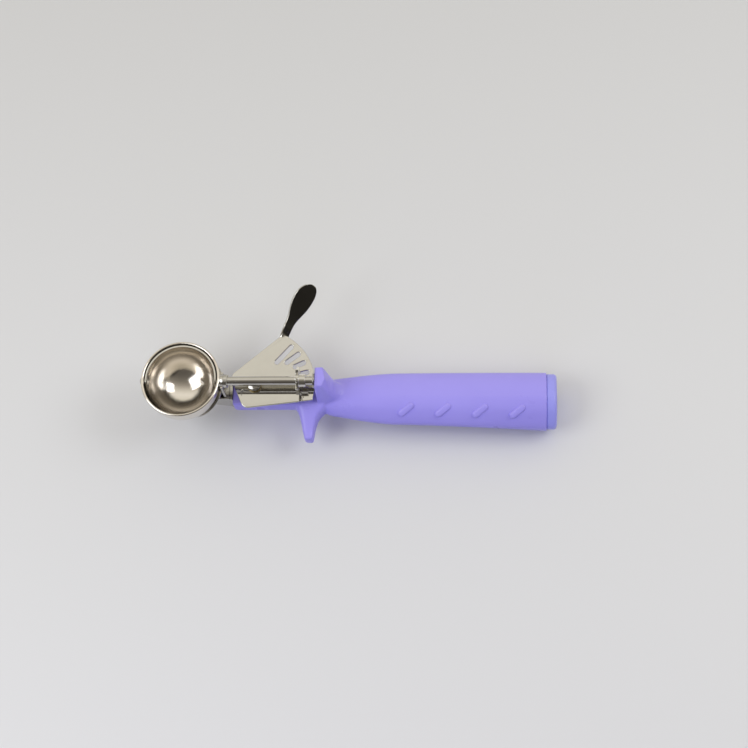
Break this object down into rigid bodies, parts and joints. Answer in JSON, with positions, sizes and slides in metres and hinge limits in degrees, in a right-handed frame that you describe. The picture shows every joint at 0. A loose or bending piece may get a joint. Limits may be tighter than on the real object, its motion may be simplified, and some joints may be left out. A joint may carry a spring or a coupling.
{
  "type": "lever ice cream scoop",
  "caption": "Thumb-lever ice cream disher: steel bowl with a geared scraper blade, slotted sector lever and a moulded oval handle.",
  "frame": {"origin": "centre of the bowl's mouth, in the plane of its rim", "axes": "+Z out of the bowl's mouth, +X along the handle from the bowl to the butt, +Y towards the thumb lever's side"},
  "size_m": [0.2152, 0.0778, 0.0435],
  "materials": {
    "purple_plastic": "satin moulded plastic with a fine grain",
    "cap_plastic": "satin moulded plastic, a little smoother",
    "bowl_steel": "polished spun stainless steel",
    "lever_steel": "polished stainless sheet",
    "shaft_steel": "polished stainless rod",
    "blade_steel": "polished stainless strip",
    "stamped_steel": "stamped stainless sheet, lightly brushed",
    "turned_steel": "turned and riveted stainless steel",
    "screw_steel": "stainless screws",
    "spring_steel": "drawn spring wire",
    "bearing_brass": "turned brass, satin"
  },
  "bodies": {
    "handle": {"handle": "purple_plastic", "end_cap": "cap_plastic", "bowl": "bowl_steel", "bowl_saddle": "stamped_steel", "tang": "stamped_steel", "saddle_screws": "screw_steel", "tang_screws": "screw_steel", "front_bearing": "turned_steel", "rear_bearing": "bearing_brass", "nose_rivet": "turned_steel", "lever_pivot": "turned_steel", "pivot_spacer": "turned_steel", "lower_washer": "bearing_brass", "upper_washer": "bearing_brass", "torsion_spring": "spring_steel"},
    "lever": {"thumb_lever": "lever_steel"},
    "scraper": {"scraper_shaft": "shaft_steel", "scraper_blade": "blade_steel", "pinion": "turned_steel", "pinion_pin": "turned_steel", "shaft_clip": "spring_steel"}
  },
  "joints": [
    {"name": "lever_press", "type": "hinge", "parent": "handle", "child": "lever", "pos_m": [0.0372, 0, -0.0111], "axis": [0, 0, -1], "range_deg": [0, 44], "stiffness_Nm_per_rad": 0.3, "springref_deg": -28.65, "deforming": ["torsion_spring"]},
    {"name": "scraper_spin", "type": "hinge", "parent": "handle", "child": "scraper", "pos_m": [0, 0, -0.0039], "axis": [-1, 0, 0], "range_deg": [0, 172.5]}
  ],
  "couplings": [
    {"joint": "scraper_spin", "follows": "lever_press", "ratio": 3.913}
  ]
}
